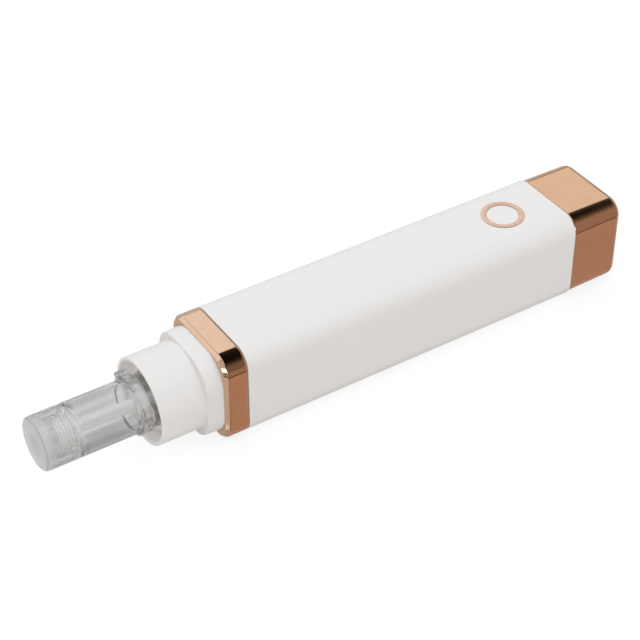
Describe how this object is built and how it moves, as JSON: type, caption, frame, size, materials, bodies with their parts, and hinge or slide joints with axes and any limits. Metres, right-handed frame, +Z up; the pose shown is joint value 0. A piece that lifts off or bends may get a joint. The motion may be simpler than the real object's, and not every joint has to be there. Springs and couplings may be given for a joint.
{
  "type": "cordless microneedling pen",
  "caption": "Square-bodied cordless pen with a rose-gold collar and end cap, a turning depth sleeve and a capped clear needle cartridge.",
  "frame": {"origin": "centre of the pen's box, on the surface that the flat underside lies on", "axes": "+X along the pen from the needle tip to the end cap, +Z up through the power button"},
  "size_m": [0.1686, 0.026, 0.026],
  "materials": {
    "white_plastic": "white satin plastic",
    "rose_gold": "polished rose-gold plate",
    "steel": "bright",
    "clear_plastic": "clear moulded plastic",
    "frosted_plastic": "frosted clear plastic",
    "grey_plastic": "pale grey, fine matt",
    "black_plastic": "matt",
    "bronze": "sintered bronze",
    "silicone": "soft translucent",
    "board": "green solder mask",
    "cell_wrap": "blue shrink wrap over a metal can",
    "wire": "insulated wire"
  },
  "bodies": {
    "housing": {"body_shell": "white_plastic", "front_collar": "rose_gold", "nose_base": "white_plastic", "rear_cap": "rose_gold", "retaining_ring": "grey_plastic", "button_bezel": "rose_gold", "guide_bush": "bronze", "return_spring": "steel", "motor_can": "steel", "motor_bracket": "steel", "motor_screw_1": "steel", "motor_screw_2": "steel", "inner_chassis": "black_plastic", "battery_cell": "cell_wrap", "front_battery_tab": "steel", "rear_battery_tab": "steel", "circuit_board": "board", "board_screw_1": "steel", "board_screw_2": "steel", "board_screw_3": "steel", "board_screw_4": "steel", "switch_body": "black_plastic", "charging_port": "steel", "port_tongue": "black_plastic", "motor_lead_1": "wire", "motor_lead_2": "wire"},
    "button": {"power_button": "white_plastic", "switch_plunger": "grey_plastic"},
    "sleeve": {"depth_sleeve": "white_plastic"},
    "socket": {"cartridge_socket": "grey_plastic", "socket_pin_1": "steel", "socket_pin_2": "steel"},
    "cartridge": {"cartridge_barrel": "clear_plastic", "safety_membrane": "silicone"},
    "needles": {"needle_block": "white_plastic", "needle_1": "steel", "needle_2": "steel", "needle_3": "steel", "needle_4": "steel", "needle_5": "steel", "needle_6": "steel", "needle_7": "steel", "needle_8": "steel", "needle_9": "steel", "needle_10": "steel", "needle_11": "steel", "needle_12": "steel", "plunger_stem": "white_plastic"},
    "cap": {"tip_cap": "frosted_plastic"},
    "rod": {"drive_rod": "steel"},
    "rotor": {"swash_cam": "black_plastic", "motor_shaft": "steel"}
  },
  "joints": [
    {"name": "button_press", "type": "slide", "parent": "housing", "child": "button", "axis": [0, 0, -1], "range_m": [0, 0.0004], "stiffness_N_per_m": 500},
    {"name": "depth_turn", "type": "hinge", "parent": "housing", "child": "sleeve", "pos_m": [-0.05, 0, 0.013], "axis": [1, 0, 0], "range_deg": [0, 150]},
    {"name": "socket_travel", "type": "slide", "parent": "housing", "child": "socket", "axis": [-1, 0, 0], "range_m": [0, 0.002]},
    {"name": "cartridge_pull", "type": "slide", "parent": "socket", "child": "cartridge", "axis": [-1, 0, 0], "range_m": [0, 0.02]},
    {"name": "needle_stroke", "type": "slide", "parent": "cartridge", "child": "needles", "axis": [-1, 0, 0], "range_m": [0, 0.0016]},
    {"name": "cap_pull", "type": "slide", "parent": "cartridge", "child": "cap", "axis": [-1, 0, 0], "range_m": [0, 0.015]},
    {"name": "rod_stroke", "type": "slide", "parent": "housing", "child": "rod", "axis": [-1, 0, 0], "range_m": [0, 0.0016], "stiffness_N_per_m": 400, "deforming": ["return_spring"]},
    {"name": "motor_turn", "type": "hinge", "parent": "housing", "child": "rotor", "pos_m": [-0.0168, 0, 0.013], "axis": [1, 0, 0], "continuous": true}
  ],
  "couplings": [
    {"joint": "socket_travel", "follows": "depth_turn", "m_per_rad": 0.00076394},
    {"joint": "needle_stroke", "follows": "rod_stroke", "ratio": 1}
  ]
}
